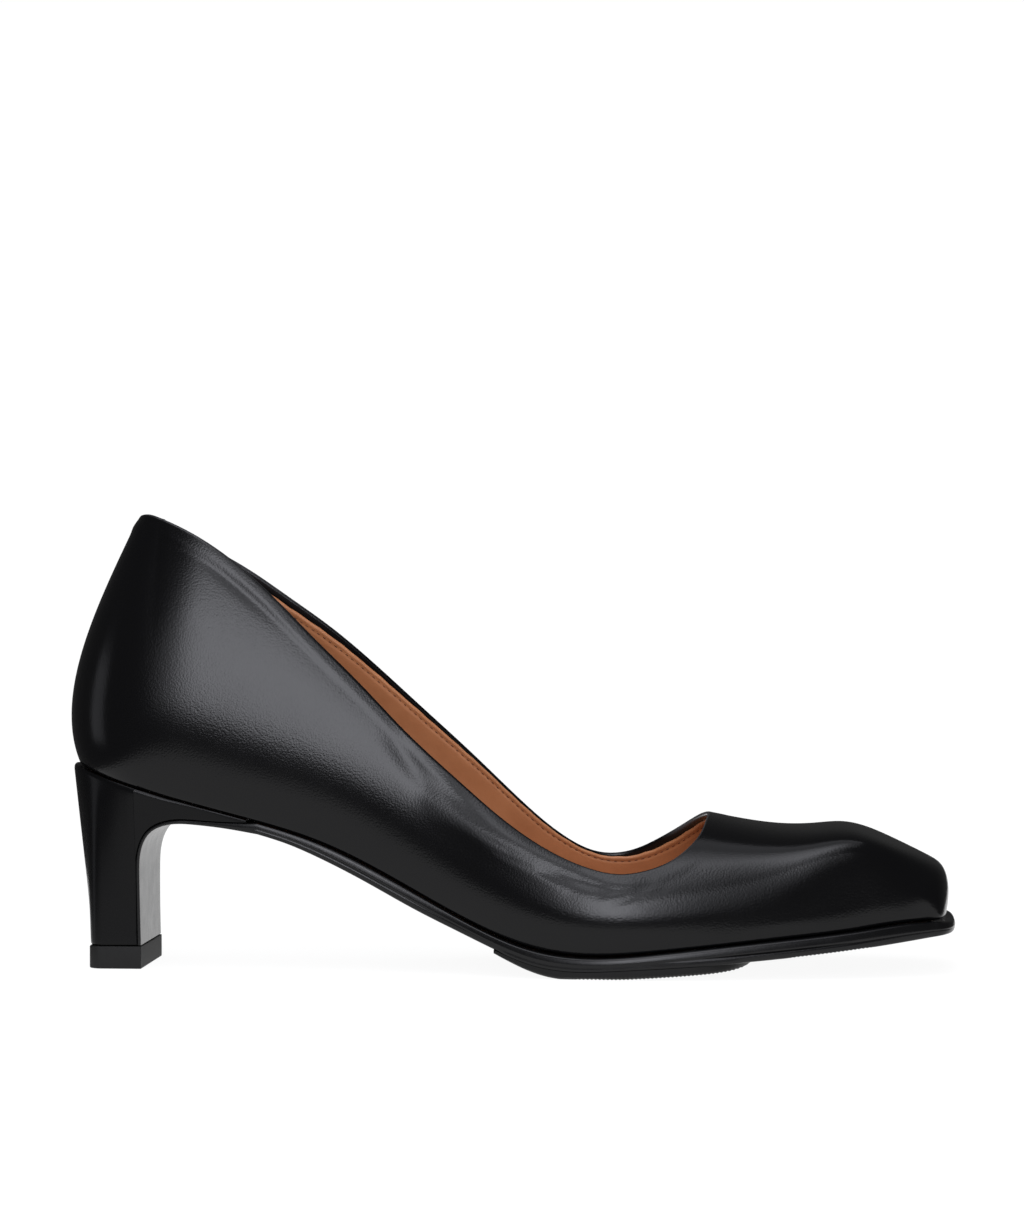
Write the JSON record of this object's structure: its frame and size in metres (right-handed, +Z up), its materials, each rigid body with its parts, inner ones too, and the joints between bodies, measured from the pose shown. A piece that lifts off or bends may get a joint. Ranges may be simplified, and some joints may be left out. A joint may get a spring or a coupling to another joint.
{
  "type": "high heel shoe",
  "caption": "Smooth leather pump for the right foot with a low-cut throat, soft square toe and slim straight-breasted block heel.",
  "frame": {"origin": "centre of the shoe's bounds in plan, on the floor plane it stands on", "axes": "+X from the heel to the toe, +Y to the inner side of the foot, +Z up"},
  "size_m": [0.249, 0.0788, 0.1267],
  "materials": {
    "black_calf_leather": "satin black calf, smooth grain",
    "tan_sock_leather": "matt tan sock leather",
    "black_sole_leather": "waxed black edge dye, glossy",
    "black_rubber_tread": "matt moulded rubber",
    "black_heel_cover": "satin black leather cover drawn over the heel",
    "black_rubber_lift": "satin cut rubber"
  },
  "bodies": {
    "root": {"upper": "black_calf_leather", "insole": "tan_sock_leather", "outsole": "black_sole_leather", "forefoot_tread": "black_rubber_tread", "heel": "black_heel_cover", "top_lift": "black_rubber_lift"}
  },
  "joints": []
}
